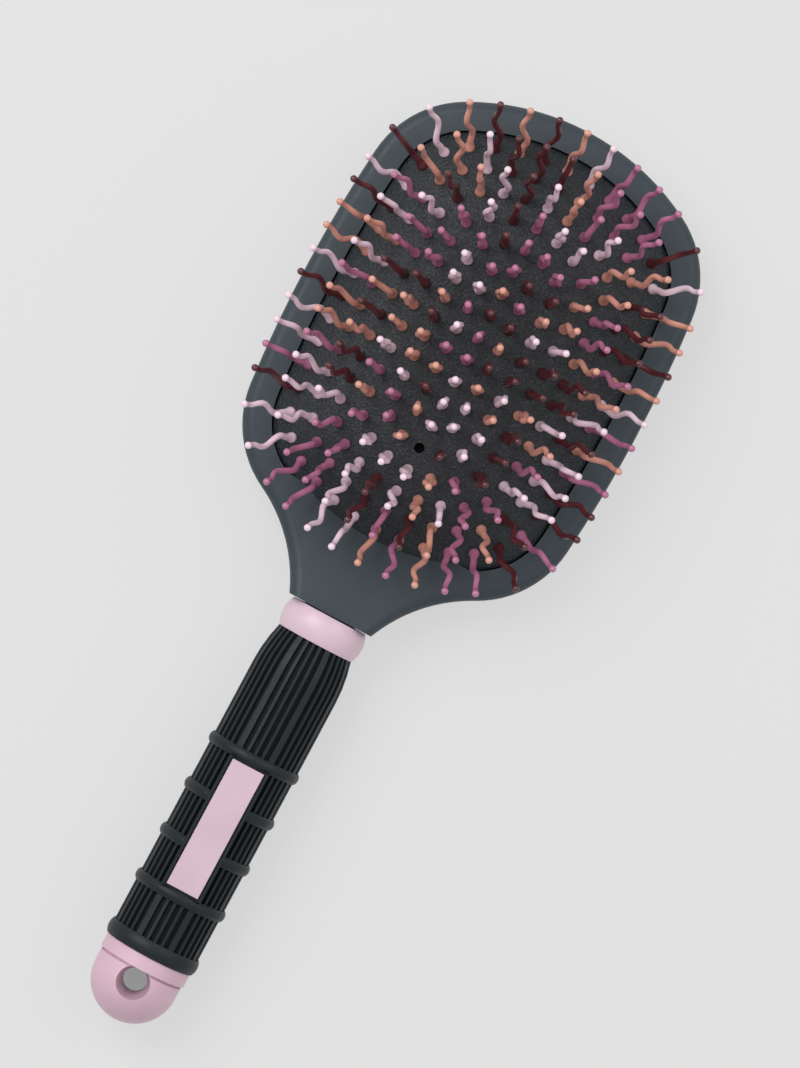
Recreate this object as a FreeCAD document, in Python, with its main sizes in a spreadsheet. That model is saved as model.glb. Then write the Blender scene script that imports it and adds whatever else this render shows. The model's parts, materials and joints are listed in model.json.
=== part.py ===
"""Detangling paddle brush with wavy ball-tipped pins on an air cushion.

The brush lies on its back: +Z is the pin side, +Y runs from the handle to the head, X is across.
Lengths are millimetres and angles are degrees.
"""
import FreeCAD, Part
import Sketcher
import math
import os
import random
import re

Vector = FreeCAD.Vector
Placement = FreeCAD.Placement
Rotation = FreeCAD.Rotation
UP = Vector(0, 0, 1)

# Driving dimensions
SIZES = {
    # Head plate, seen from above
    "head_half_width": 46.2,
    "head_half_length": 61.8,
    "crown_radius": 64,
    "corner_radius": 27,
    "side_radius": 350,
    # Head plate, seen from the side
    "rim_height": 16.5,
    "rim_width": 7.4,
    "floor_thickness": 3,
    "front_edge_radius": 3,
    "back_edge_radius": 6,
    # Neck between the head and the handle
    "neck_length": 12.4,
    "neck_half_width": 11.5,
    "neck_flare_radius": 40,
    "neck_front_rise": 4.2,
    "neck_back_rise": 3,
    "neck_blend_length": 26,
    # Tang that carries the handle pieces
    "tang_radius": 7,
    "tang_short": 0.5,
    "handle_clearance": 0.1,
    # Collar ring
    "collar_gap": 0.4,
    "collar_length": 7.6,
    "collar_end_radius": 10.1,
    "collar_bulge": 0.95,
    # Grip sleeve with ribs and finger rings
    "grip_length": 87.5,
    "grip_radius": 11.6,
    "grip_top_radius": 10.05,
    "grip_swell_length": 11,
    "groove_depth": 1,
    "rib_angle": 8,
    "rib_count": 8,
    "ring_radius": 12.45,
    "ring_width": 2.8,
    "ring_drop": 32.4,
    "ring_pitch": 12.9,
    "end_ring_width": 4,
    # Label plate in its recess
    "label_half_width": 4.6,
    "label_thickness": 0.9,
    "label_clearance": 0.15,
    "label_border": 0.7,
    "label_seat_height": 11,
    # End cap with the hanging hole
    "cap_shoulder_radius": 11.5,
    "cap_shoulder_length": 3.6,
    "cap_seam_depth": 0.6,
    "cap_seam_width": 0.7,
    "cap_ball_radius": 11.1,
    "cap_length": 18.5,
    "spigot_radius": 4.4,
    "spigot_length": 11,
    "hole_radius": 3.15,
    "hole_mouth_radius": 4.4,
    "hole_land": 6,
    # Rubber cushion
    "cushion_gap": 0.35,
    "cushion_drop": 1,
    "cushion_crown": 10.7,
    "cushion_power": 3.4,
    "cushion_wall": 1.5,
    "skirt_depth": 4.5,
    "bead_height": 1.8,
    "bead_reach": 1.2,
    "vent_radius": 1.3,
    # Pins in rings on the cushion
    "ring_one_half_width": 34.5,
    "ring_two_half_width": 29.3,
    "ring_three_half_width": 23.8,
    "ring_four_half_width": 17.9,
    "ring_five_half_width": 11.9,
    "ring_six_half_width": 5.75,
    "ring_one_pins": 46,
    "ring_two_pins": 42,
    "ring_three_pins": 38,
    "ring_four_pins": 30,
    "ring_five_pins": 26,
    "ring_six_pins": 18,
    "centre_row_pins": 6,
    "centre_row_pitch": 6.1,
    "end_lean_loss": 0.2,
    # One pin
    "pin_length": 20.2,
    "pin_seat_gap": 0.25,
    "foot_radius": 1.35,
    "foot_height": 2.2,
    "shaft_base_radius": 0.9,
    "shaft_tip_radius": 0.6,
    "wave_height": 1.2,
    "wave_start": 5.4,
    "wave_end": 12.4,
    "ball_radius": 0.9,
}

RING_WORDS = ("one", "two", "three", "four", "five", "six")
COLOURS = ("blush", "rose", "coral", "wine")
SCATTER_SEED = 7
FINGER_RINGS = 4
NEAR = 0.05

doc = FreeCAD.newDocument("detangling_brush")
sheet = doc.addObject("Spreadsheet::Sheet", "sizes")
for row, (alias, number) in enumerate(SIZES.items(), start=1):
    sheet.set(f"A{row}", alias)
    sheet.set(f"B{row}", str(number))
    sheet.setAlias(f"B{row}", alias)
doc.recompute()


def formula(text):
    """The text with each size name turned into a reference to its cell."""
    return re.sub(r"[a-z_]+", lambda word: "sizes." + word[0] if word[0] in SIZES else word[0], text)


def size(text):
    """The number that a text of size names works out to."""
    return float(sheet.evalExpression(formula(text)))


def bind(thing, name, text):
    """Tie one property of an object to the sizes."""
    thing.setExpression(name, formula(text))


# Sizes that several pieces share, as texts of size names
HEAD_CENTRE = "((cap_length + grip_length + collar_length + collar_gap + neck_length) / 2)"
NECK_END = f"({HEAD_CENTRE} - head_half_length - neck_length)"
COLLAR_TOP = f"({NECK_END} - collar_gap)"
GRIP_TOP = f"({COLLAR_TOP} - collar_length)"
CAP_TOP = f"({GRIP_TOP} - grip_length)"
HANDLE_HEIGHT = "ring_radius"
BORE_RADIUS = "(tang_radius + handle_clearance)"
CUSHION_EDGE = "(rim_height - cushion_drop)"
SKIRT_FOOT = f"({CUSHION_EDGE} - skirt_depth)"
EDGE_HALF_WIDTH = "(head_half_width - rim_width - cushion_gap)"
RING_HALF_WIDTHS = tuple(f"ring_{word}_half_width" for word in RING_WORDS)


def cushion_height(half_width):
    """Height of the cushion's outer skin along the ring of one half width."""
    return f"({CUSHION_EDGE} + cushion_crown * (1 - ({half_width} / {EDGE_HALF_WIDTH}) ^ cushion_power))"


def opening(offset="0"):
    """The cushion opening's outline, grown by an offset: half width, half length and three radii."""
    names = ("head_half_width", "head_half_length", "crown_radius", "corner_radius", "side_radius")
    return tuple(f"({name} - rim_width + {offset})" for name in names)


def ring_outline(half_width):
    """The outline of one pin ring, drawn in from the opening."""
    full_width, full_length, crown, corner, side = opening()
    share = f"{half_width} / {full_width}"
    half_length = f"({half_width} + {full_length} - {full_width})"
    return half_width, half_length, f"({crown} * {share})", f"({corner} * {share})", side


# Sketch helpers

def new_body(label, y_text, z_text):
    body = doc.addObject("PartDesign::Body", label)
    body.Label = label
    bind(body, "Placement.Base.y", y_text)
    bind(body, "Placement.Base.z", z_text)
    return body


def new_sketch(body, name, plane="XY_Plane", offset="0"):
    sketch = body.newObject("Sketcher::SketchObject", name)
    support = next(part for part in body.Origin.OriginFeatures if part.Role == plane)
    sketch.AttachmentSupport = [(support, "")]
    sketch.MapMode = "FlatFace"
    bind(sketch, "AttachmentOffset.Base.z", offset)
    return sketch


def sized(text, kind, *where):
    """One dimension of a sketch with the text that it follows."""
    return Sketcher.Constraint(kind, *where, size(text)), text


def placed(curve, end, x_text, y_text):
    """The two dimensions that hold one point of a curve."""
    return [sized(x_text, "DistanceX", -1, 1, curve, end), sized(y_text, "DistanceY", -1, 1, curve, end)]


def joined(kind, *where):
    """A relation between curves, which has no size."""
    return Sketcher.Constraint(kind, *where), None


def constrain(sketch, rules):
    """Add all rules of a drawing in one step and tie their sizes."""
    numbers = sketch.addConstraint([rule for rule, _ in rules])
    for number, (_, text) in zip(numbers, rules):
        if text is not None:
            sketch.setExpression(f"Constraints[{number}]", formula(text))


def arc_between(start, finish, radius):
    """The shorter arc from start to finish, counter-clockwise when the radius is positive."""
    chord = finish - start
    reach = math.sqrt(radius ** 2 - chord.Length ** 2 / 4)
    left = Vector(-chord.y, chord.x, 0).normalize()
    centre = (start + finish) / 2 + left * math.copysign(reach, radius)
    first, last = (start, finish) if radius > 0 else (finish, start)
    angles = [math.atan2(point.y - centre.y, point.x - centre.x) for point in (first, last)]
    return Part.ArcOfCircle(Part.Circle(centre, UP, abs(radius)), *angles)


def draw_profile(sketch, corners, arcs=None):
    """Draw a closed profile through corners given as texts.

    arcs gives the radius text of the stretch after a corner, with "-" in front for a clockwise arc.
    """
    arcs = arcs or {}
    points = [Vector(size(x_text), size(y_text), 0) for x_text, y_text in corners]
    pieces = []
    for index, point in enumerate(points):
        following = points[(index + 1) % len(points)]
        if index in arcs:
            turn = size(arcs[index])
            curve = sketch.addGeometry(arc_between(point, following, turn), False)
            ends = (1, 2) if turn > 0 else (2, 1)
        else:
            curve = sketch.addGeometry(Part.LineSegment(point, following), False)
            ends = (1, 2)
        pieces.append((curve, *ends))
    rules = []
    for index, (curve, start, finish) in enumerate(pieces):
        next_curve, next_start, _ = pieces[(index + 1) % len(pieces)]
        rules.append(joined("Coincident", curve, finish, next_curve, next_start))
        rules += placed(curve, start, *corners[index])
        if index in arcs:
            rules.append(sized(arcs[index].lstrip("-"), "Radius", curve))
    constrain(sketch, rules)


def draw_box(sketch, half_width, y_low, y_high):
    corners = ((f"-{half_width}", y_low), (half_width, y_low), (half_width, y_high), (f"-{half_width}", y_high))
    draw_profile(sketch, corners)


def draw_circle(sketch, radius, x_text="0", y_text="0"):
    centre = Vector(size(x_text), size(y_text), 0)
    curve = sketch.addGeometry(Part.Circle(centre, UP, size(radius)), False)
    constrain(sketch, [sized(radius, "Radius", curve), *placed(curve, 3, x_text, y_text)])


def feature(body, kind, name, sketch, **texts):
    """Add a feature made from one sketch, with its sizes tied to texts."""
    added = body.newObject(f"PartDesign::{kind}", name)
    added.Profile = sketch
    for property_name, text in texts.items():
        bind(added, property_name, text)
    return added


def turned(body, kind, name, sketch, angle="360"):
    """Add a Revolution or Groove about the sketch's own upright axis."""
    added = feature(body, kind, name, sketch, Angle=angle)
    added.ReferenceAxis = (sketch, ["V_Axis"])
    return added


# Outline of tangent arcs

def crossing(first, first_radius, second, second_radius, towards):
    """The crossing of two circles that lies furthest in one direction."""
    line = second - first
    along = (first_radius ** 2 - second_radius ** 2 + line.Length ** 2) / (2 * line.Length)
    aside = math.sqrt(first_radius ** 2 - along ** 2)
    foot = first + line * (along / line.Length)
    normal = Vector(-line.y, line.x, 0).normalize()
    return max((foot + normal * aside, foot - normal * aside), key=towards.dot)


def heading(start, finish):
    return math.atan2(finish.y - start.y, finish.x - start.x)


def paddle_arcs(half_width, half_length, crown, corner, side):
    """Centre, radius and two angles of the eight arcs, counter-clockwise from the right side."""
    crown_centre = Vector(0, half_length - crown, 0)
    side_centre = Vector(half_width - side, 0, 0)
    corner_centre = crossing(crown_centre, crown - corner, side_centre, side - corner, Vector(0, 1, 0))
    steep = heading(crown_centre, corner_centre)
    shallow = heading(side_centre, corner_centre)
    arcs = []
    for turn, flip in ((0, 1), (math.pi, -1)):
        mirrored = Vector(-corner_centre.x, corner_centre.y, 0)
        arcs.append((side_centre * flip, side, turn - shallow, turn + shallow))
        arcs.append((corner_centre * flip, corner, turn + shallow, turn + steep))
        arcs.append((crown_centre * flip, crown, turn + steep, turn + math.pi - steep))
        arcs.append((mirrored * flip, corner, turn + math.pi - steep, turn + math.pi - shallow))
    return arcs


def add_arc(sketch, centre, radius, start, finish):
    return sketch.addGeometry(Part.ArcOfCircle(Part.Circle(centre, UP, radius), start, finish), False)


def draw_paddle(sketch, outline):
    """Draw the closed eight-arc outline, symmetrical about both axes."""
    half_width, half_length, crown, corner, side = outline
    curves = [add_arc(sketch, *arc) for arc in paddle_arcs(*(size(text) for text in outline))]
    rules = []
    for index, curve in enumerate(curves):
        rules.append(joined("Tangent", curve, 2, curves[(index + 1) % len(curves)], 1))
        rules.append(sized((side, corner, crown, corner)[index % 4], "Radius", curve))
    for curve, sign in ((curves[0], ""), (curves[4], "-")):
        rules += placed(curve, 3, f"{sign}({half_width} - {side})", "0")
    for curve, sign in ((curves[2], ""), (curves[6], "-")):
        rules += placed(curve, 3, "0", f"{sign}({half_length} - {crown})")
    constrain(sketch, rules)


def draw_head(sketch):
    """Draw the head outline: the paddle, running through two hollow arcs into the neck."""
    outline = ("head_half_width", "head_half_length", "crown_radius", "corner_radius", "side_radius")
    half_width, half_length, crown, corner, side = outline
    arcs = paddle_arcs(*(size(text) for text in outline))
    corner_centre = arcs[7][0]
    neck_corner = Vector(size("neck_half_width"), -size("head_half_length + neck_length"), 0)
    flare = size("neck_flare_radius")
    flare_centre = crossing(corner_centre, flare + size(corner), neck_corner, flare, Vector(1, 0, 0))
    meet = heading(corner_centre, flare_centre)
    leave = heading(flare_centre, neck_corner)
    right_side = add_arc(sketch, *arcs[0])
    right_corner = add_arc(sketch, *arcs[1])
    top = add_arc(sketch, *arcs[2])
    left_corner = add_arc(sketch, *arcs[3])
    left_side = add_arc(sketch, *arcs[4])
    left_shoulder = add_arc(sketch, arcs[5][0], size(corner), arcs[5][2], math.pi - meet)
    right_shoulder = add_arc(sketch, corner_centre, size(corner), meet, arcs[0][2])
    mirrored = Vector(-flare_centre.x, flare_centre.y, 0)
    left_flare = add_arc(sketch, mirrored, flare, math.pi - leave, -meet)
    right_flare = add_arc(sketch, flare_centre, flare, meet + math.pi, leave)
    neck_left = Vector(-neck_corner.x, neck_corner.y, 0)
    neck_line = sketch.addGeometry(Part.LineSegment(neck_left, neck_corner), False)
    ring = (right_shoulder, right_side, right_corner, top, left_corner, left_side, left_shoulder)
    rules = [joined("Tangent", first, 2, second, 1) for first, second in zip(ring, ring[1:])]
    rules.append(joined("Tangent", left_shoulder, 2, left_flare, 2))
    rules.append(joined("Tangent", right_flare, 1, right_shoulder, 1))
    rules.append(joined("Coincident", left_flare, 1, neck_line, 1))
    rules.append(joined("Coincident", neck_line, 2, right_flare, 2))
    for curve in (right_corner, left_corner, left_shoulder, right_shoulder):
        rules.append(sized(corner, "Radius", curve))
    for curve in (left_flare, right_flare):
        rules.append(sized("neck_flare_radius", "Radius", curve))
    for curve, sign in ((right_side, ""), (left_side, "-")):
        rules.append(sized(side, "Radius", curve))
        rules += placed(curve, 3, f"{sign}({half_width} - {side})", "0")
    rules.append(sized(crown, "Radius", top))
    rules += placed(top, 3, "0", f"{half_length} - {crown}")
    neck_end = "-(head_half_length + neck_length)"
    rules += placed(neck_line, 1, "-neck_half_width", neck_end)
    rules += placed(neck_line, 2, "neck_half_width", neck_end)
    constrain(sketch, rules)


# Head frame: rim, recess, neck and tang in one moulding

def blend_radius(rise):
    """Radius of the arc that climbs by a rise over the neck blend, level at its far end."""
    return f"((neck_blend_length ^ 2 + {rise} ^ 2) / (2 * {rise}))"


def edge_names(shape, wanted):
    return [f"Edge{number}" for number, edge in enumerate(shape.Edges, start=1) if wanted(edge)]


def outline_edges(shape, height_of):
    """Names of the edges that run round the head where a face of the given height meets the wall."""
    neck_end = -size("head_half_length + neck_length")

    def wanted(edge):
        middle = edge.valueAt((edge.FirstParameter + edge.LastParameter) / 2)
        level = abs(middle.z - height_of(middle.y)) < NEAR
        straight = edge.Curve.TypeId == "Part::GeomLine"
        return level and not straight and middle.y > neck_end + NEAR

    return edge_names(shape, wanted)


def climb(y_place, rise_text):
    """Height that the neck blend has gained at one place along the head."""
    neck_end = -size("head_half_length + neck_length")
    run = max(0, neck_end + size("neck_blend_length") - y_place)
    radius = size(blend_radius(rise_text))
    return radius - math.sqrt(radius ** 2 - run ** 2)


def round_edges(body, name, base, edges, radius):
    fillet = body.newObject("PartDesign::Fillet", name)
    fillet.Base = (base, edges)
    bind(fillet, "Radius", radius)
    doc.recompute()
    return fillet


def side_cut(body, name, corners, arc):
    """Cut a side profile away right across the head."""
    sketch = new_sketch(body, f"{name}_profile", "YZ_Plane")
    draw_profile(sketch, corners, arc)
    cut = feature(body, "Pocket", name, sketch)
    cut.Type = "ThroughAll"
    cut.SideType = "Symmetric"
    doc.recompute()
    return cut


def build_head_frame():
    body = new_body("head_frame", HEAD_CENTRE, "0")
    neck_end = "-(head_half_length + neck_length)"
    blend_start = f"({neck_end} + neck_blend_length)"
    neck_top = "(rim_height + neck_front_rise)"
    spare = "rim_height"
    far_end = f"(head_half_length + {spare})"
    outline = new_sketch(body, "head_outline")
    draw_head(outline)
    feature(body, "Pad", "head_block", outline, Length=neck_top)
    front = (
        (blend_start, "rim_height"),
        (far_end, "rim_height"),
        (far_end, f"{neck_top} + {spare}"),
        (neck_end, f"{neck_top} + {spare}"),
        (neck_end, neck_top),
    )
    side_cut(body, "front_face", front, {4: blend_radius("neck_front_rise")})
    back = (
        (blend_start, "0"),
        (neck_end, "neck_back_rise"),
        (neck_end, f"-{spare}"),
        (blend_start, f"-{spare}"),
    )
    base = side_cut(body, "back_face", back, {0: "-" + blend_radius("neck_back_rise")})
    edges = outline_edges(base.Shape, lambda y: size("rim_height") + climb(y, "neck_front_rise"))
    base = round_edges(body, "front_rounding", base, edges, "front_edge_radius")
    edges = outline_edges(base.Shape, lambda y: climb(y, "neck_back_rise"))
    round_edges(body, "back_rounding", base, edges, "back_edge_radius")

    recess = new_sketch(body, "recess_outline", offset="rim_height")
    draw_paddle(recess, opening())
    feature(body, "Pocket", "recess", recess, Length="rim_height - floor_thickness")
    groove = new_sketch(body, "bead_groove_outline", offset=f"{SKIRT_FOOT} + bead_height + cushion_gap")
    draw_paddle(groove, opening("bead_reach + cushion_gap"))
    feature(body, "Pocket", "bead_groove", groove, Length="bead_height + 2 * cushion_gap")

    tang = new_sketch(body, "tang_circle", "XZ_Plane", "head_half_length + neck_length")
    draw_circle(tang, "tang_radius", y_text=HANDLE_HEIGHT)
    tang_length = "(collar_gap + collar_length + grip_length - tang_short)"
    feature(body, "Pad", "tang", tang, Length=tang_length)
    socket = new_sketch(body, "socket_circle", "XZ_Plane", f"head_half_length + neck_length + {tang_length}")
    draw_circle(socket, "spigot_radius + handle_clearance", y_text=HANDLE_HEIGHT)
    feature(body, "Pocket", "cap_socket", socket, Length="spigot_length")
    return body


# Handle pieces, all turned about the handle's axis

def build_collar_ring():
    body = new_body("collar_ring", COLLAR_TOP, HANDLE_HEIGHT)
    sketch = new_sketch(body, "collar_profile")
    corners = (
        (BORE_RADIUS, "0"),
        (BORE_RADIUS, "-collar_length"),
        ("collar_end_radius", "-collar_length"),
        ("collar_end_radius", "0"),
    )
    draw_profile(sketch, corners, {2: "(collar_length ^ 2 / 4 + collar_bulge ^ 2) / (2 * collar_bulge)"})
    turned(body, "Revolution", "collar_barrel", sketch)
    return body


def ring_level(number):
    """Level of one finger ring below the top of the grip."""
    return f"-(ring_drop + {number} * ring_pitch)"


SWELL = "(grip_radius - grip_top_radius)"
SWELL_RADIUS = f"((grip_swell_length ^ 2 + {SWELL} ^ 2) / (2 * {SWELL}))"


def sleeve_profile(inset, inner):
    """Corners of the grip's half section, with its outside set in by a depth."""
    return (
        (inner, "0"),
        (inner, "-grip_length"),
        (f"(grip_radius - {inset})", "-grip_length"),
        (f"(grip_radius - {inset})", "-grip_swell_length"),
        (f"(grip_top_radius - {inset})", "0"),
    )


def build_grip_sleeve():
    body = new_body("grip_sleeve", GRIP_TOP, HANDLE_HEIGHT)
    sketch = new_sketch(body, "sleeve_profile")
    draw_profile(sketch, sleeve_profile("groove_depth", BORE_RADIUS), {3: SWELL_RADIUS})
    turned(body, "Revolution", "sleeve", sketch)
    add_ribs(body)
    add_finger_rings(body)
    add_label_seat(body)
    return body


def add_ribs(body):
    """Stand one rib on the sleeve, half a panel from the side, and repeat it all round."""
    sketch = new_sketch(body, "rib_profile")
    sketch.AttachmentOffset = Placement(Vector(), Rotation(Vector(0, 1, 0), 1))
    bind(sketch, "AttachmentOffset.Rotation.Angle", "180 / rib_count")
    root = "(grip_top_radius - groove_depth - label_clearance)"
    draw_profile(sketch, sleeve_profile("0", root), {3: SWELL_RADIUS})
    rib = turned(body, "Revolution", "rib", sketch, "rib_angle")
    rib.Midplane = True
    repeat = body.newObject("PartDesign::PolarPattern", "ribs")
    repeat.Originals = [rib]
    repeat.Axis = (sketch, ["V_Axis"])
    repeat.Angle = 360
    bind(repeat, "Occurrences", "rib_count")
    body.Tip = repeat


def add_finger_rings(body):
    sketch = new_sketch(body, "ring_profile")
    beads = [(ring_level(number), "ring_width") for number in range(FINGER_RINGS)]
    beads.append(("-(grip_length - end_ring_width / 2)", "end_ring_width"))
    root = "(grip_radius - groove_depth - handle_clearance)"
    shoulder = "(grip_radius + (ring_radius - grip_radius) / 3)"
    for level, width in beads:
        high = f"({level} + {width} / 2)"
        low = f"({level} - {width} / 2)"
        corners = ((root, high), (root, low), (shoulder, low), (shoulder, high))
        rise = f"(ring_radius - {shoulder})"
        draw_profile(sketch, corners, {2: f"({width} ^ 2 / 4 + {rise} ^ 2) / (2 * {rise})"})
    turned(body, "Revolution", "finger_rings", sketch)


LABEL_TOP = f"({ring_level(0)} - ring_width / 2)"
LABEL_FOOT = f"({ring_level(FINGER_RINGS - 1)} + ring_width / 2)"
LABEL_FACE = "(label_seat_height + label_thickness)"


def add_label_seat(body):
    """Raise a flat frame between the first and last ring and sink the label's recess in it."""
    half_width = "(label_half_width + label_clearance + label_border)"
    frame = new_sketch(body, "label_frame_outline", offset="label_seat_height - groove_depth")
    draw_box(frame, half_width, LABEL_FOOT, LABEL_TOP)
    feature(body, "Pad", "label_frame", frame, Length="label_thickness + groove_depth")
    window = new_sketch(body, "label_window_outline", offset="ring_radius")
    draw_box(window, half_width, LABEL_FOOT, LABEL_TOP)
    feature(body, "Pocket", "label_window", window, Length=f"ring_radius - {LABEL_FACE}")
    recess = new_sketch(body, "label_recess_outline", offset=LABEL_FACE)
    draw_box(recess, "(label_half_width + label_clearance)", f"({LABEL_FOOT} + label_clearance)",
             f"({LABEL_TOP} - label_clearance)")
    feature(body, "Pocket", "label_recess", recess, Length="label_thickness")


def build_label_plate():
    body = new_body("label_plate", GRIP_TOP, f"{HANDLE_HEIGHT} + label_seat_height")
    sketch = new_sketch(body, "plate_outline")
    margin = "2 * label_clearance"
    draw_box(sketch, "label_half_width", f"({LABEL_FOOT} + {margin})", f"({LABEL_TOP} - {margin})")
    plate = feature(body, "Pad", "plate", sketch, Length="label_thickness")
    doc.recompute()
    face_level = size("label_thickness")
    rim = edge_names(plate.Shape, lambda edge: all(abs(v.Z - face_level) < NEAR for v in edge.Vertexes))
    bevel = body.newObject("PartDesign::Chamfer", "plate_bevel")
    bevel.Base = (plate, rim)
    bind(bevel, "Size", "label_clearance")
    return body


def build_end_cap():
    body = new_body("end_cap", CAP_TOP, HANDLE_HEIGHT)
    sketch = new_sketch(body, "cap_profile")
    seam_top = "-(cap_shoulder_length)"
    seam_foot = "-(cap_shoulder_length + cap_seam_width)"
    ball_centre = "-(cap_length - cap_ball_radius)"
    seam_radius = "(cap_ball_radius - cap_seam_depth)"
    corners = (
        ("0", "spigot_length - tang_short"),
        ("0", "-cap_length"),
        ("cap_ball_radius", ball_centre),
        ("cap_ball_radius", seam_foot),
        (seam_radius, seam_foot),
        (seam_radius, seam_top),
        ("cap_shoulder_radius", seam_top),
        ("cap_shoulder_radius", "0"),
        ("spigot_radius", "0"),
        ("spigot_radius", "spigot_length - tang_short"),
    )
    draw_profile(sketch, corners, {1: "cap_ball_radius"})
    turned(body, "Revolution", "cap", sketch)
    hole = new_sketch(body, "hole_circle")
    draw_circle(hole, "hole_radius", y_text=ball_centre)
    cut = feature(body, "Pocket", "hanging_hole", hole)
    cut.Type = "ThroughAll"
    cut.SideType = "Symmetric"
    for name, tilt in (("front_mouth", 0), ("back_mouth", 180)):
        mouth = body.newObject("PartDesign::SubtractiveCone", name)
        mouth.Placement = Placement(Vector(), Rotation(Vector(0, 1, 0), tilt))
        bind(mouth, "Placement.Base.y", ball_centre)
        bind(mouth, "Placement.Base.z", f"{'-' if tilt else ''}(hole_land / 2)")
        bind(mouth, "Radius1", "hole_radius")
        bind(mouth, "Radius2", "hole_mouth_radius")
        bind(mouth, "Height", "cap_ball_radius - hole_land / 2")
    return body


# Rubber cushion: a hollow domed skin with a skirt and a bead that snaps into the groove

def loft(body, kind, name, sections):
    """Add a loft through outlines given with their heights."""
    sketches = []
    for number, (outline, height) in enumerate(sections):
        sketch = new_sketch(body, f"{name}_section_{number}", offset=height)
        draw_paddle(sketch, outline)
        sketches.append(sketch)
    added = body.newObject(f"PartDesign::{kind}", name)
    added.Profile = sketches[0]
    added.Sections = sketches[1:]
    doc.recompute()
    return added


def build_cushion_pad():
    body = new_body("cushion_pad", HEAD_CENTRE, "0")
    skirt = new_sketch(body, "skirt_outline", offset=SKIRT_FOOT)
    draw_paddle(skirt, opening("-cushion_gap"))
    feature(body, "Pad", "skirt", skirt, Length="skirt_depth")
    bead = new_sketch(body, "bead_outline", offset=SKIRT_FOOT)
    draw_paddle(bead, opening("bead_reach"))
    feature(body, "Pad", "bead", bead, Length="bead_height")
    rings = [(ring_outline(width), cushion_height(width)) for width in RING_HALF_WIDTHS]
    loft(body, "AdditiveLoft", "dome", [(opening("-cushion_gap"), CUSHION_EDGE), *rings[:2], *rings[3::2]])
    inner_edge = opening("-(cushion_gap + cushion_wall)")
    hollow = [(inner_edge, SKIRT_FOOT), (inner_edge, CUSHION_EDGE)]
    hollow += [(outline, f"({height} - cushion_wall)") for outline, height in rings[1::4]]
    cavity = loft(body, "SubtractiveLoft", "cavity", hollow)
    cavity.Ruled = True
    vent = new_sketch(body, "vent_circle", offset=f"{CUSHION_EDGE} + cushion_crown")
    draw_circle(vent, "vent_radius", y_text=f"-{ring_outline('ring_five_half_width')[1]}")
    feature(body, "Pocket", "vent", vent, Length="cushion_crown")
    return body


# Pins: flat-faced so that two hundred of them stay light

def pin_solid():
    """One wavy pin standing on Z, with its wave in the XZ plane."""
    gap = size("pin_seat_gap")
    ball_level = size("pin_length - ball_radius")
    neck_level = ball_level - 2 * size("ball_radius")
    wave = size("wave_height")
    base_radius = size("shaft_base_radius")
    tip_radius = size("shaft_tip_radius")
    middle_radius = (base_radius + tip_radius) / 2
    stations = (
        (gap, 0, size("foot_radius")),
        (gap + size("foot_height"), 0, base_radius),
        (size("wave_start"), wave, base_radius),
        (size("wave_end"), -wave, middle_radius),
        (neck_level, 0, tip_radius),
        (ball_level, 0, size("ball_radius")),
    )
    same_area = math.sqrt(math.pi / 2)
    squares = []
    for level, shift, radius in stations:
        reach = radius * same_area
        squares.append([
            Vector(shift + reach, 0, level),
            Vector(shift, reach, level),
            Vector(shift - reach, 0, level),
            Vector(shift, -reach, level),
        ])
    apex = Vector(0, 0, size("pin_length"))
    outlines = [squares[0]]
    for low, high in zip(squares, squares[1:]):
        outlines += [[low[k - 1], low[k], high[k], high[k - 1]] for k in range(4)]
    outlines += [[squares[-1][k - 1], squares[-1][k], apex] for k in range(4)]
    faces = [Part.Face(Part.makePolygon(outline + outline[:1])) for outline in outlines]
    solid = Part.Solid(Part.Shell(faces))
    if solid.Volume < 0:
        solid.reverse()
    return solid


def places_round(outline, count):
    """Evenly spaced points and outward directions round an outline, from the top centre."""
    arcs = paddle_arcs(*(size(text) for text in outline))
    lengths = [radius * (finish - start) for _, radius, start, finish in arcs]
    start_length = sum(lengths[:2]) + lengths[2] / 2
    places = []
    for number in range(count):
        rest = (start_length + number * sum(lengths) / count) % sum(lengths)
        index = 0
        while rest > lengths[index]:
            rest -= lengths[index]
            index += 1
        centre, radius, start, _ = arcs[index]
        angle = start + rest / radius
        outward = Vector(math.cos(angle), math.sin(angle), 0)
        places.append((centre + outward * radius, outward))
    return places


def dome_slope(half_width):
    """Angle by which the cushion's skin falls away along the ring of one half width."""
    share = f"({half_width} / {EDGE_HALF_WIDTH}) ^ (cushion_power - 1)"
    return math.atan(size(f"cushion_crown * cushion_power / {EDGE_HALF_WIDTH} * {share}"))


def pin_rows():
    """Each row's name with the foot point and axis of every pin in it."""
    rows = {}
    for number, word in enumerate(RING_WORDS, start=1):
        half_width = f"ring_{word}_half_width"
        count = int(size(f"ring_{word}_pins"))
        height = size(cushion_height(half_width))
        slope = dome_slope(half_width)
        pins = []
        for point, outward in places_round(ring_outline(half_width), count):
            lean = slope * (1 - size("end_lean_loss") * outward.y ** 2)
            axis = outward * math.sin(lean) + UP * math.cos(lean)
            pins.append((point + UP * height, axis))
        if word == "five":
            del pins[count // 2]
        rows[f"ring{number}"] = pins
    count = int(size("centre_row_pins"))
    top = size(cushion_height("ring_six_half_width"))
    first = -size("centre_row_pitch") * (count - 1) / 2
    levels = [first + number * size("centre_row_pitch") for number in range(count)]
    rows["centre_row"] = [(Vector(0, level, top), UP) for level in levels]
    return rows


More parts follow.
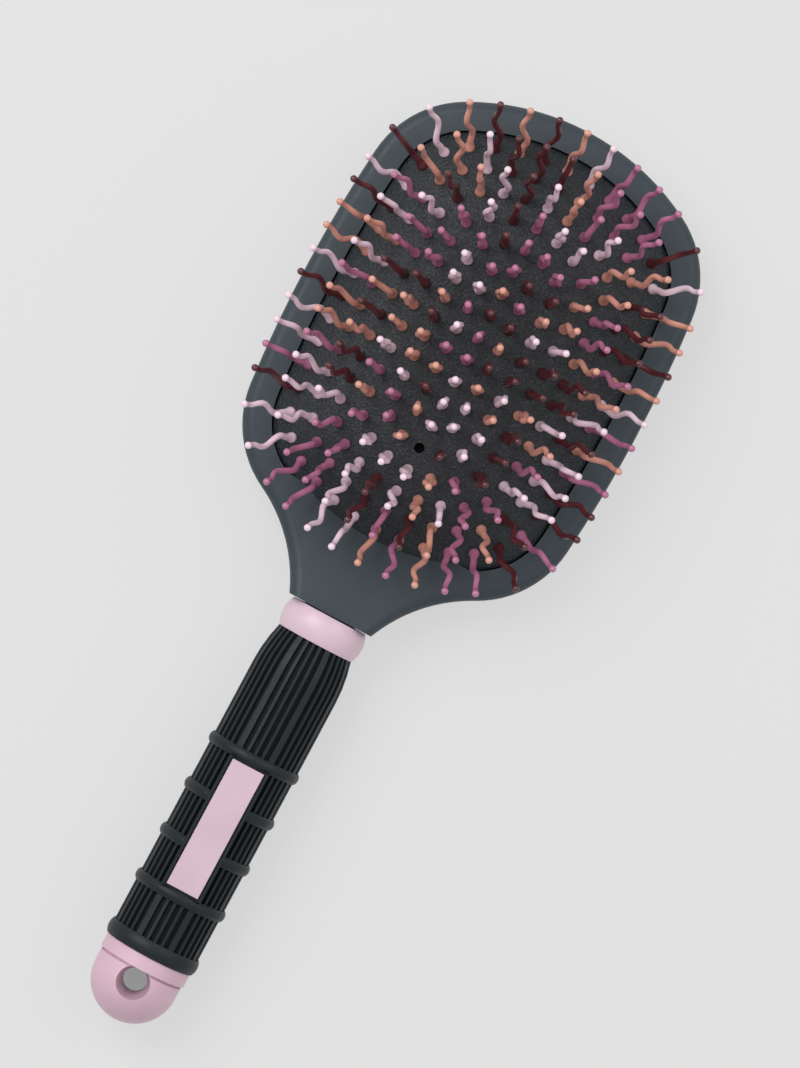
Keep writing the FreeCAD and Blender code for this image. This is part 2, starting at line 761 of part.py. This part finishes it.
def build_pins():
    """One group of pins for each row and colour, with colours and wave directions scattered."""
    scatter = random.Random(SCATTER_SEED)
    master = pin_solid()
    groups = []
    for row_name, pins in pin_rows().items():
        colours = [COLOURS[number % len(COLOURS)] for number in range(len(pins))]
        scatter.shuffle(colours)
        members = {colour: [] for colour in COLOURS}
        for (foot, axis), colour in zip(pins, colours):
            twist = Rotation(UP, scatter.uniform(0, 360))
            pin = master.copy()
            pin.Placement = Placement(foot, Rotation(UP, axis).multiply(twist))
            members[colour].append(pin)
        for colour, solids in members.items():
            group = doc.addObject("Part::Feature", f"{row_name}_pins_{colour}")
            group.Label = f"{row_name}_pins_{colour}"
            group.Shape = Part.makeCompound(solids)
            group.Placement = Placement(Vector(0, size(HEAD_CENTRE), 0), Rotation())
            groups.append(group)
    return groups


def check(pieces):
    """Stop if any object failed or any piece has no sound solid."""
    failed = [thing.Name for thing in doc.Objects if {"Invalid", "Error"} & set(thing.State)]
    if failed:
        raise RuntimeError(f"objects failed: {failed}")
    for piece in pieces:
        if piece.Shape.isNull() or not piece.Shape.isValid() or not piece.Shape.Solids:
            raise RuntimeError(f"{piece.Label} has no sound solid")


parts = [
    build_head_frame(),
    build_cushion_pad(),
    build_collar_ring(),
    build_grip_sleeve(),
    build_label_plate(),
    build_end_cap(),
    *build_pins(),
]
doc.recompute()
check(parts)
os.makedirs("parts", exist_ok=True)
for part in parts:
    part.Shape.exportStep(os.path.join("parts", f"{part.Label}.step"))
    box = part.Shape.BoundBox
    print(f"{part.Label}: {len(part.Shape.Solids)} solids, {part.Shape.Volume:.0f} mm3, "
          f"x {box.XMin:.1f}..{box.XMax:.1f} y {box.YMin:.1f}..{box.YMax:.1f} z {box.ZMin:.1f}..{box.ZMax:.1f}")
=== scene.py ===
"""Detangling paddle brush on a pale floor, seen from straight above."""
import json
import math

import bmesh
import bpy
import numpy as np
from mathutils import Matrix, Vector


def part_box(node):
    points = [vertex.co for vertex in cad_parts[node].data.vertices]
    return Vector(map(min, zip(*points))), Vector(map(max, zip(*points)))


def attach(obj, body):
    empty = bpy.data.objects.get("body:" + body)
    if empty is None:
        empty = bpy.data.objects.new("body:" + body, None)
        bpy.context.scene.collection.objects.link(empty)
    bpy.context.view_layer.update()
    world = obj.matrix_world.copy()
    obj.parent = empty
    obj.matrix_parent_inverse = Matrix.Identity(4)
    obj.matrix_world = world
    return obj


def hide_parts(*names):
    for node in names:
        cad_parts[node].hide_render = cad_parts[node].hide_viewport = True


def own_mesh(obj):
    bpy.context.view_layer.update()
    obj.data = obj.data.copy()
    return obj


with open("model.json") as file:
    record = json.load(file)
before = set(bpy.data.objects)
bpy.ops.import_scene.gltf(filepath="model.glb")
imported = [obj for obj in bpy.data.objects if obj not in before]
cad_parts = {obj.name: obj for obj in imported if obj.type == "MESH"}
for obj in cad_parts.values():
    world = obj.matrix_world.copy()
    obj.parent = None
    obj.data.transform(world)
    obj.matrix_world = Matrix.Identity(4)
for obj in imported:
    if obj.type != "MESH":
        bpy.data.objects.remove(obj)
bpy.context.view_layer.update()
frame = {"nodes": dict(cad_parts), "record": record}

MM = 0.001

# Colours out of 255
HEAD_GREY = (52, 61, 67)
CUSHION_BLACK = (29, 33, 37)
# Painted shade: near black inside the cushion's vent
VENT_PAINTED_SHADE = (8, 8, 8)
GRIP_GREY = (30, 36, 40)
# Painted shade on the floors of the grip's grooves
GROOVE_PAINTED_SHADE = (13, 15, 17)
TRIM_PINK = (206, 180, 191)
LABEL_PINK = (196, 171, 182)
CAP_PINK = (200, 166, 181)
PIN_COLOURS = {
    "blush": (226, 200, 213),
    "rose": (170, 104, 136),
    "coral": (204, 145, 128),
    "wine": (78, 28, 33),
}
FLOOR_GREY = (226, 226, 226)

# Moulded surfaces: pattern scales are counts per metre
NOISE_LOW = 0.3
NOISE_HIGH = 0.7
DRIFT_SCALE = 60
DRIFT = 0.05
SHEEN_SCALE = 400
SHEEN = 0.05
GRAIN_SCALE = 2500

# Cushion rubber
RUBBER_ROUGHNESS = 0.6
RUBBER_SPECULAR = 0.4
TINT_SCALE = 1800
TINT_DARK = 0.7
TINT_LIGHT = 1.5
# Painted glints: sparse specks of the rubber painted much lighter, standing in for sparkle of light
PAINTED_GLINT_SCALE = 1400
PAINTED_GLINT_LIGHT = 4.5
PAINTED_GLINT_EDGE = 0.3
PAINTED_GLINT_HEART = 0.12
GLOSS_SCALE = 1500
GLOSS_LOW = 0.42
GLOSS_HIGH = 0.72
STIPPLE_SCALE = 1700
STIPPLE_HEIGHT = 0.16 * MM
CREASE_SCALE = 450
CREASE_HEIGHT = 0.12 * MM

# Camera
TURN = math.radians(28.17)
CAMERA_TARGET = Vector((5.8, 14.8, 14.0)) * MM
CAMERA_DISTANCE = 1.2
FRAME_HEIGHT = 265.4 * MM
SENSOR = 36.0

# Cushion
HEAD_CENTRE = sum(corner.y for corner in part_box("cushion_pad")) / 2
CUSHION_CROWN = 10.7 * MM
CUSHION_POWER = 3.4
CUSHION_ROWS = 40
CUSHION_HEART = 0.04
CUSHION_STEPS = 240
SKIRT_SHOWN = 4 * MM
VENT_RADIUS = 1.3 * MM
VENT_PLACE = 35.7 * MM
VENT_DEPTH = 2 * MM
VENT_SIDES = 32

# Pins in millimetres: level above the skin, sideways shift and radius
CAD_PIN_SIDES = 4
PIN_SIDES = 12
PIN_STATIONS = (
    (-0.45, 0.0, 1.34),
    (0.3, 0.0, 1.34),
    (1.0, 0.1, 1.08),
    (2.2, 0.4, 0.86),
    (5.4, 1.05, 0.82),
    (12.4, -1.05, 0.74),
    (17.2, 0.0, 0.66),
)
PIN_STEP = 0.55
BALL_RADIUS = 0.92
BALL_STEPS = 7
BALL_TIP_STEP = 0.8

# Grip
HANDLE_HEIGHT = sum(corner.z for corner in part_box("collar_ring")) / 2
GRIP_RADIUS = 11.6 * MM
GRIP_TOP_RADIUS = 10.05 * MM
GRIP_SWELL = 11 * MM
GROOVE_DEPTH = 1.0 * MM
GROOVE_FLOOR_SHARE = 0.7
PANELS = 8
THIN_RIB_HALF_ANGLE = math.radians(2.3)
THIN_RIB_PLACES = [math.radians(degrees) for degrees in (-9.9, 0, 9.9)]
THIN_RIB_FOOT = 1.1
THIN_RIB_TOP = 0.8
THIN_RIB_SINK = 1.1
RIB_CORNERS = 4
END_RING = 4 * MM
RIB_STEPS = 24
LABEL_GAP = 0.25 * MM

# Meshes
EDGE_BAND = 0.02 * MM
WELD = 0.002 * MM
SHARP = math.radians(32)

# Stage: the floor glows evenly and takes only a share of the shadows
FLOOR_SIZE = 6.0
FLOOR_GLOW = 0.76
FLOOR_SHARE = 0.2
FLOOR_ROUGHNESS = 0.9
FLOOR_SPECULAR = 0.1
FIBRE_SCALE = 800
FIBRE = 0.02
HOLE_PLACE = (0, -113.9 * MM, 0)
HOLE_SHADE = 0.45
HOLE_SHADE_START = 4 * MM
HOLE_SHADE_END = 8 * MM
WORLD_LIGHT = 0.6

# Lights: place in the picture's directions, size and power
LIGHTS = {
    "key": ((-0.4, 0.5, 0.9), 0.7, 8),
    "fill": ((0.7, 0.1, 0.8), 0.8, 3),
}


# Materials

def linear(colour):
    """A colour out of 255 as linear light with full alpha."""
    shares = [part / 255 for part in colour]
    return (*[s / 12.92 if s <= 0.04045 else ((s + 0.055) / 1.055) ** 2.4 for s in shares], 1)


def shaded(colour, factor):
    """A linear colour made lighter or darker."""
    return (*[part * factor for part in colour[:3]], 1)


class Surface:
    """A material whose nodes are added and linked by short calls."""

    def __init__(self, name, roughness, coat=0.0, specular=0.5):
        self.material = bpy.data.materials.new(name)
        self.material.use_nodes = True
        self.tree = self.material.node_tree
        self.shader = self.tree.nodes["Principled BSDF"]
        self.shader.inputs["Roughness"].default_value = roughness
        self.shader.inputs["Coat Weight"].default_value = coat
        self.shader.inputs["Specular IOR Level"].default_value = specular
        self.place = self.tree.nodes.new("ShaderNodeTexCoord").outputs["Object"]
        self.normal = None
        self.colour = None

    def noise(self, scale, detail=3.0):
        node = self.tree.nodes.new("ShaderNodeTexNoise")
        node.inputs["Scale"].default_value = scale
        node.inputs["Detail"].default_value = detail
        self.tree.links.new(self.place, node.inputs["Vector"])
        return node.outputs["Fac"]

    def cells(self, scale):
        node = self.tree.nodes.new("ShaderNodeTexVoronoi")
        node.inputs["Scale"].default_value = scale
        self.tree.links.new(self.place, node.inputs["Vector"])
        return node.outputs["Distance"]

    def distance(self, point):
        node = self.tree.nodes.new("ShaderNodeVectorMath")
        node.operation = "DISTANCE"
        node.inputs[1].default_value = point
        self.tree.links.new(self.place, node.inputs[0])
        return node.outputs["Value"]

    def span(self, value, start, end, low, high):
        """A value carried over from one range to another."""
        node = self.tree.nodes.new("ShaderNodeMapRange")
        node.inputs["From Min"].default_value = start
        node.inputs["From Max"].default_value = end
        node.inputs["To Min"].default_value = low
        node.inputs["To Max"].default_value = high
        self.tree.links.new(value, node.inputs["Value"])
        return node.outputs["Result"]

    def paint(self, value, dark, light):
        """Colour that runs from dark to light over a value."""
        node = self.tree.nodes.new("ShaderNodeValToRGB")
        low, high = node.color_ramp.elements
        low.position, low.color = NOISE_LOW, dark
        high.position, high.color = NOISE_HIGH, light
        self.tree.links.new(value, node.inputs["Fac"])
        self.colour = node.outputs["Color"]
        self.tree.links.new(self.colour, self.shader.inputs["Base Color"])

    def paint_over(self, share, colour):
        """A second colour over the first, by a share of it."""
        mix = self.tree.nodes.new("ShaderNodeMixRGB")
        mix.inputs["Color2"].default_value = colour
        self.tree.links.new(share, mix.inputs["Fac"])
        self.tree.links.new(self.colour, mix.inputs["Color1"])
        self.tree.links.new(mix.outputs["Color"], self.shader.inputs["Base Color"])

    def combine(self, operation, first, second):
        node = self.tree.nodes.new("ShaderNodeMath")
        node.operation = operation
        self.tree.links.new(first, node.inputs[0])
        self.tree.links.new(second, node.inputs[1])
        return node.outputs["Value"]

    def seen(self):
        """One where the surface is looked at or mirrored, and nothing for light that bounces."""
        rays = self.tree.nodes.new("ShaderNodeLightPath").outputs
        mirrored = self.combine("MAXIMUM", rays["Is Glossy Ray"], rays["Is Transmission Ray"])
        return self.combine("MAXIMUM", rays["Is Camera Ray"], mirrored)

    def vary_roughness(self, value, low, high):
        roughness = self.span(value, NOISE_LOW, NOISE_HIGH, low, high)
        self.tree.links.new(roughness, self.shader.inputs["Roughness"])

    def bump(self, value, height):
        node = self.tree.nodes.new("ShaderNodeBump")
        node.inputs["Distance"].default_value = height
        self.tree.links.new(value, node.inputs["Height"])
        if self.normal is not None:
            self.tree.links.new(self.normal, node.inputs["Normal"])
        self.normal = node.outputs["Normal"]
        self.tree.links.new(self.normal, self.shader.inputs["Normal"])


def moulded(name, colour, roughness, grain, coat=0.0, specular=0.5):
    """Moulded plastic or rubber: drifting colour, uneven sheen and a fine grain."""
    surface = Surface(name, roughness, coat, specular)
    base = linear(colour)
    surface.paint(surface.noise(DRIFT_SCALE), shaded(base, 1 - DRIFT), shaded(base, 1 + DRIFT))
    surface.vary_roughness(surface.noise(SHEEN_SCALE), roughness - SHEEN, roughness + SHEEN)
    surface.bump(surface.noise(GRAIN_SCALE, detail=2), grain)
    return surface.material


def cushion_rubber():
    """Dark rubber with a stippled grain and painted glints: sparse specks painted much lighter, for
    small sparks of light.
    """
    surface = Surface("cushion_rubber", RUBBER_ROUGHNESS, specular=RUBBER_SPECULAR)
    base = linear(CUSHION_BLACK)
    surface.paint(surface.noise(TINT_SCALE, detail=2), shaded(base, TINT_DARK), shaded(base, TINT_LIGHT))
    # painted glints: small cells painted much lighter than the rubber
    painted_glints = surface.span(surface.cells(PAINTED_GLINT_SCALE), PAINTED_GLINT_EDGE, PAINTED_GLINT_HEART, 0, 1)
    surface.paint_over(painted_glints, shaded(base, PAINTED_GLINT_LIGHT))
    surface.vary_roughness(surface.noise(GLOSS_SCALE), GLOSS_LOW, GLOSS_HIGH)
    surface.bump(surface.cells(STIPPLE_SCALE), STIPPLE_HEIGHT)
    surface.bump(surface.noise(CREASE_SCALE, detail=4), CREASE_HEIGHT)
    return surface.material


def floor_paper():
    """Pale paper that looks even, with shade under the hanging hole."""
    surface = Surface("floor_paper", FLOOR_ROUGHNESS, specular=FLOOR_SPECULAR)
    base = linear(FLOOR_GREY)
    surface.paint(surface.noise(FIBRE_SCALE), shaded(base, 1 - FIBRE), shaded(base, 1 + FIBRE))
    seen = surface.seen()
    surface.paint_over(seen, shaded(base, FLOOR_SHARE))
    surface.shader.inputs["Emission Color"].default_value = base
    away = surface.distance(HOLE_PLACE)
    glow = surface.span(away, HOLE_SHADE_START, HOLE_SHADE_END, FLOOR_GLOW * HOLE_SHADE, FLOOR_GLOW)
    strength = surface.combine("MULTIPLY", glow, seen)
    surface.tree.links.new(strength, surface.shader.inputs["Emission Strength"])
    return surface.material


# Mesh helpers

def mesh_object(name, points, faces, material):
    """A smooth-shaded object made from corners and faces."""
    mesh = bpy.data.meshes.new(name)
    mesh.from_pydata([tuple(point) for point in points], [], faces)
    mesh.materials.append(material)
    mesh.polygons.foreach_set("use_smooth", [True] * len(mesh.polygons))
    shown = bpy.data.objects.new(name, mesh)
    bpy.context.scene.collection.objects.link(shown)
    return shown


def node_points(node):
    """A CAD node's corners and triangles, with equal corners merged."""
    mesh = frame["nodes"][node].data
    corners = np.array([corner.co for corner in mesh.vertices])
    rounded = np.round(corners / WELD)
    _, first, where = np.unique(rounded, axis=0, return_index=True, return_inverse=True)
    where = where.reshape(-1)
    faces = [tuple(int(where[index]) for index in polygon.vertices) for polygon in mesh.polygons]
    return corners[first], [face for face in faces if len(set(face)) == len(face)]


def tube_faces(start, rows, sides):
    """Outward faces of a closed tube, from its first corner's number: the wall, the foot and the top."""
    faces = []
    for row in range(rows - 1):
        for side in range(sides):
            here = start + row * sides + side
            after = start + row * sides + (side + 1) % sides
            faces.append((here, after, after + sides, here + sides))
    end = start + rows * sides
    faces.append(tuple(range(start + sides - 1, start - 1, -1)))
    faces.append(tuple(range(end - sides, end)))
    return faces


def show(shown, body, node):
    """Let a mesh stand for a CAD node, whose own object is hidden, and move with its body."""
    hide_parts(node)
    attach(shown, body)


# Rigid pieces

RIGID = {
    "head_frame": moulded("head_plastic", HEAD_GREY, roughness=0.5, grain=0.012 * MM, specular=0.3),
    "collar_ring": moulded("pink_trim", TRIM_PINK, roughness=0.42, grain=0.01 * MM, coat=0.1),
    "grip_sleeve": moulded("grip_rubber", GRIP_GREY, roughness=0.42, grain=0.03 * MM, specular=0.2),
    "label_plate": moulded("pink_label", LABEL_PINK, roughness=0.5, grain=0.01 * MM),
    "end_cap": moulded("pink_cap", CAP_PINK, roughness=0.4, grain=0.01 * MM, coat=0.1),
}


def rigid_piece(node):
    """A CAD node shown again with merged corners and soft shading between shallow facets."""
    points, faces = node_points(node)
    shown = mesh_object(f"shown_{node}", points, faces, RIGID[node])
    shown.data.set_sharp_from_angle(angle=SHARP)
    show(shown, "brush", node)
    return shown


def trim_label(shown):
    """Draw the plate's sides in, so that a dark line shows between it and its frame."""
    low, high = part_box("label_plate")
    middle = (low + high) / 2
    size = high - low
    for corner in shown.data.vertices:
        corner.co.x = middle.x + (corner.co.x - middle.x) * (1 - 2 * LABEL_GAP / size.x)
        corner.co.y = middle.y + (corner.co.y - middle.y) * (1 - 2 * LABEL_GAP / size.y)


# Thin ribs of the grip

def grip_radius(fall):
    """Outer radius of the grip at one distance below its top."""
    rise = GRIP_RADIUS - GRIP_TOP_RADIUS
    radius = (GRIP_SWELL ** 2 + rise ** 2) / (2 * rise)
    rest = max(0.0, GRIP_SWELL - fall)
    return GRIP_RADIUS - (radius - math.sqrt(radius ** 2 - rest ** 2))


def paint_groove_shade(shown):
    """Give the grip's groove floors their own darker material: painted shade in the grooves."""
    grip_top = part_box("grip_sleeve")[1].y
    dark = moulded("groove_painted_shade", GROOVE_PAINTED_SHADE, roughness=0.7, grain=0.03 * MM, specular=0.2)
    shown.data.materials.append(dark)
    for face in shown.data.polygons:
        out = math.hypot(face.center.x, face.center.z - HANDLE_HEIGHT)
        sunk = grip_radius(grip_top - face.center.y) - out
        # faces sunk deep enough count as groove floor and take the painted shade
        if sunk > GROOVE_DEPTH * GROOVE_FLOOR_SHARE:
            face.material_index = 1


def rib_points(turn, top, foot):
    """Section corners of one thin rib from one level to another, row by row."""
    grip_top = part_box("grip_sleeve")[1].y
    points = []
    for level in np.linspace(top, foot, RIB_STEPS):
        outer = grip_radius(grip_top - level)
        floor = outer - GROOVE_DEPTH * THIN_RIB_SINK
        right = ((THIN_RIB_FOOT, floor), (THIN_RIB_TOP, outer))
        left = ((-THIN_RIB_TOP, outer), (-THIN_RIB_FOOT, floor))
        for share, radius in right + left:
            angle = turn + share * THIN_RIB_HALF_ANGLE
            points.append((radius * math.sin(angle), level, HANDLE_HEIGHT + radius * math.cos(angle)))
    return points


def thin_ribs():
    """Three fine ribs between each pair of wide ones, left out under the label."""
    low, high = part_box("grip_sleeve")
    label_low, label_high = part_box("label_plate")
    foot = low.y + END_RING
    points = []
    faces = []
    for panel in range(PANELS):
        for place in THIN_RIB_PLACES:
            turn = panel * 2 * math.pi / PANELS + place
            runs = [(high.y, label_high.y), (label_low.y, foot)] if panel == 0 else [(high.y, foot)]
            for run_top, run_foot in runs:
                faces += tube_faces(len(points), RIB_STEPS, RIB_CORNERS)
                points += rib_points(turn, run_top, run_foot)
    shown = mesh_object("thin_ribs", points, faces, RIGID["grip_sleeve"])
    shown.data.set_sharp_from_angle(angle=SHARP)
    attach(shown, "brush")


# Cushion

def turn_of(first, second, third):
    """Positive where the way from first to third by second turns left."""
    ahead = second - first
    after = third - second
    return ahead[0] * after[1] - ahead[1] * after[0]


def hull(points):
    """The convex outline round points in a plane, counter-clockwise."""
    ordered = sorted(points, key=tuple)
    outline = []
    for run in (ordered, ordered[::-1]):
        side = []
        for point in run:
            while len(side) > 1 and turn_of(side[-2], side[-1], point) <= 0:
                side.pop()
            side.append(point)
        outline += side[:-1]
    return np.array(outline)


def cushion_edge(level):
    """Evenly spaced points along the CAD cushion's edge, from the head's centre."""
    points, _ = node_points("cushion_pad")
    near = points[np.abs(points[:, 2] - level) < EDGE_BAND]
    outline = hull(near[:, :2] - (0, HEAD_CENTRE))
    closed = np.vstack((outline, outline[:1]))
    lengths = np.concatenate(([0], np.cumsum(np.linalg.norm(np.diff(closed, axis=0), axis=1))))
    steps = np.linspace(0, lengths[-1], CUSHION_STEPS, endpoint=False)
    return np.stack([np.interp(steps, lengths, closed[:, axis]) for axis in (0, 1)], axis=1)


def crown_height(share):
    """Height of the skin above its edge, at a share of the way out from the spine."""
    return CUSHION_CROWN * (1 - share ** CUSHION_POWER)


def cut_vent(shown):
    """A round vent sunk into the skin, where the fifth ring leaves a pin out, with near-black walls and
    floor as painted shade.
    """
    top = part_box("cushion_pad")[1].z
    drill = bmesh.new()
    bmesh.ops.create_cone(
        drill,
        cap_ends=True,
        segments=VENT_SIDES,
        radius1=VENT_RADIUS,
        radius2=VENT_RADIUS,
        depth=2 * VENT_DEPTH,
        matrix=Matrix.Translation((0, VENT_PLACE, top)),
    )
    # the vent's walls and floor take a near-black colour of painted shade
    black = moulded("vent_painted_shade", VENT_PAINTED_SHADE, roughness=0.8, grain=0.01 * MM, specular=0.1)
    cutter = mesh_object("vent_drill", [], [], black)
    drill.to_mesh(cutter.data)
    drill.free()
    cut = shown.modifiers.new("vent", "BOOLEAN")
    cut.object = cutter
    cut.operation = "DIFFERENCE"
    cut.solver = "EXACT"
    cut.material_mode = "TRANSFER"
    shapes = bpy.context.evaluated_depsgraph_get()
    mesh = bpy.data.meshes.new_from_object(shown.evaluated_get(shapes), depsgraph=shapes)
    shown.modifiers.clear()
    shown.data = mesh
    shown.data.set_sharp_from_angle(angle=SHARP)
    bpy.data.objects.remove(cutter)


def cushion():
    """The closed dome: rows drawn in from the edge towards a short spine, with the skirt turned down."""
    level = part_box("cushion_pad")[1].z - CUSHION_CROWN
    edge = cushion_edge(level)
    half_width, half_length = edge.max(axis=0)
    spine = np.stack((np.zeros(CUSHION_STEPS), edge[:, 1] * (1 - half_width / half_length)), axis=1)
    rows = [(1.0, level - SKIRT_SHOWN)]
    shares = np.linspace(1, CUSHION_HEART, CUSHION_ROWS)
    rows += [(share, level + crown_height(share)) for share in shares]
    skin = []
    for share, height in rows:
        skin += [(x, y + HEAD_CENTRE, height) for x, y in spine + (edge - spine) * share]
    faces = tube_faces(0, len(rows), CUSHION_STEPS)
    shown = mesh_object("shown_cushion", skin, faces, cushion_rubber())
    cut_vent(shown)
    show(shown, "brush", "cushion_pad")
    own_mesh(shown)


# Pins

def islands(count, faces):
    """Groups of corners that faces join."""
    parent = list(range(count))

    def root(corner):
        while parent[corner] != corner:
            parent[corner] = parent[parent[corner]]
            corner = parent[corner]
        return corner

    for face in faces:
        for corner in face[1:]:
            parent[root(corner)] = root(face[0])
    groups = {}
    for corner in range(count):
        groups.setdefault(root(corner), []).append(corner)
    return list(groups.values())


def pin_frame(points):
    """Foot, axis and wave direction of one CAD pin, from its corners."""
    middle = points.mean(axis=0)
    axis = np.linalg.svd(points - middle)[2][0]
    axis = axis if axis[2] > 0 else -axis
    ordered = points[np.argsort((points - middle) @ axis)]
    foot = ordered[:CAD_PIN_SIDES].mean(axis=0)
    axis = ordered[-1] - foot
    length = np.linalg.norm(axis)
    axis = axis / length
    bend = ordered[2 * CAD_PIN_SIDES:3 * CAD_PIN_SIDES].mean(axis=0) - foot
    bend = bend - axis * (bend @ axis)
    bend = bend / np.linalg.norm(bend)
    return foot, axis, bend, length


def pin_rows(length):
    """Level, shift and radius of each row of a smooth pin, with the ball at its tip."""
    levels, shifts, radii = np.array(PIN_STATIONS).T
    rows = []
    for start in range(len(levels) - 1):
        steps = max(2, round((levels[start + 1] - levels[start]) / PIN_STEP))
        for step in range(steps):
            share = step / steps
            ease = (1 - math.cos(math.pi * share)) / 2
            level = levels[start] + share * (levels[start + 1] - levels[start])
            shift = shifts[start] + ease * (shifts[start + 1] - shifts[start])
            radius = radii[start] + ease * (radii[start + 1] - radii[start])
            rows.append((level, shift, radius))
    centre = length / MM - BALL_RADIUS
    opening = math.asin(radii[-1] / BALL_RADIUS)
    for step in range(BALL_STEPS):
        angle = math.pi - opening - step * (math.pi - opening) / (BALL_STEPS - BALL_TIP_STEP)
        rows.append((centre + BALL_RADIUS * math.cos(angle), 0.0, BALL_RADIUS * math.sin(angle)))
    return rows


def pin_points(foot, axis, bend, length):
    """Corners of one smooth pin, row by row."""
    side = np.cross(axis, bend)
    points = []
    for level, shift, radius in pin_rows(length):
        centre = foot + (axis * level + bend * shift) * MM
        for number in range(PIN_SIDES):
            angle = 2 * math.pi * number / PIN_SIDES
            points.append(centre + (bend * math.cos(angle) + side * math.sin(angle)) * radius * MM)
    return points


def pin_group(node, body, material):
    """Smooth wavy pins in place of one node's flat-faced ones."""
    corners, faces = node_points(node)
    points = []
    tubes = []
    for group in islands(len(corners), faces):
        added = pin_points(*pin_frame(corners[group]))
        tubes += tube_faces(len(points), len(added) // PIN_SIDES, PIN_SIDES)
        points += added
    shown = mesh_object(f"shown_{node}", points, tubes, material)
    show(shown, body, node)


def pins():
    """All pin groups, each on the body of its ring."""
    materials = {}
    for name, colour in PIN_COLOURS.items():
        materials[name] = moulded(f"pin_{name}", colour, roughness=0.3, grain=0.006 * MM, coat=0.3)
    for body, members in frame["record"]["behaviour"]["bodies"].items():
        for node in members:
            if "_pins_" in node:
                pin_group(node, body, materials[node.split("_")[-1]])


# Stage

def picture_point(right, up, height):
    """A place given in the picture's own directions, from the camera's target."""
    across = Vector((math.cos(TURN), math.sin(TURN), 0))
    along = Vector((-math.sin(TURN), math.cos(TURN), 0))
    return CAMERA_TARGET + across * right + along * up + Vector((0, 0, height))


def add_camera():
    """Camera straight above, turned as the photograph is."""
    camera = bpy.data.objects.new("camera", bpy.data.cameras.new("camera"))
    bpy.context.scene.collection.objects.link(camera)
    camera.data.sensor_width = SENSOR
    camera.data.lens = SENSOR * CAMERA_DISTANCE / FRAME_HEIGHT
    camera.location = picture_point(0, 0, CAMERA_DISTANCE)
    camera.rotation_euler = (0, 0, TURN)
    bpy.context.scene.camera = camera


def add_light(name, place, size, power):
    """A square soft light that faces the brush."""
    lamp = bpy.data.lights.new(name, "AREA")
    lamp.size = size
    lamp.energy = power
    light = bpy.data.objects.new(name, lamp)
    bpy.context.scene.collection.objects.link(light)
    light.location = place
    light.rotation_euler = (CAMERA_TARGET - place).to_track_quat("-Z", "Y").to_euler()


def add_stage():
    """Pale floor, even white surroundings, lights and plain colours in the picture."""
    half = FLOOR_SIZE / 2
    corners = [(-half, -half, 0), (half, -half, 0), (half, half, 0), (-half, half, 0)]
    mesh_object("floor", corners, [(0, 1, 2, 3)], floor_paper())
    scene = bpy.context.scene
    scene.world = bpy.data.worlds.new("studio")
    scene.world.use_nodes = True
    background = scene.world.node_tree.nodes["Background"]
    background.inputs["Color"].default_value = (1, 1, 1, 1)
    background.inputs["Strength"].default_value = WORLD_LIGHT
    for name, (place, size, power) in LIGHTS.items():
        add_light(name, picture_point(*place), size, power)
    scene.view_settings.view_transform = "Standard"


rigid = {node: rigid_piece(node) for node in RIGID}
paint_groove_shade(rigid["grip_sleeve"])
trim_label(rigid["label_plate"])
thin_ribs()
cushion()
pins()
add_stage()
add_camera()
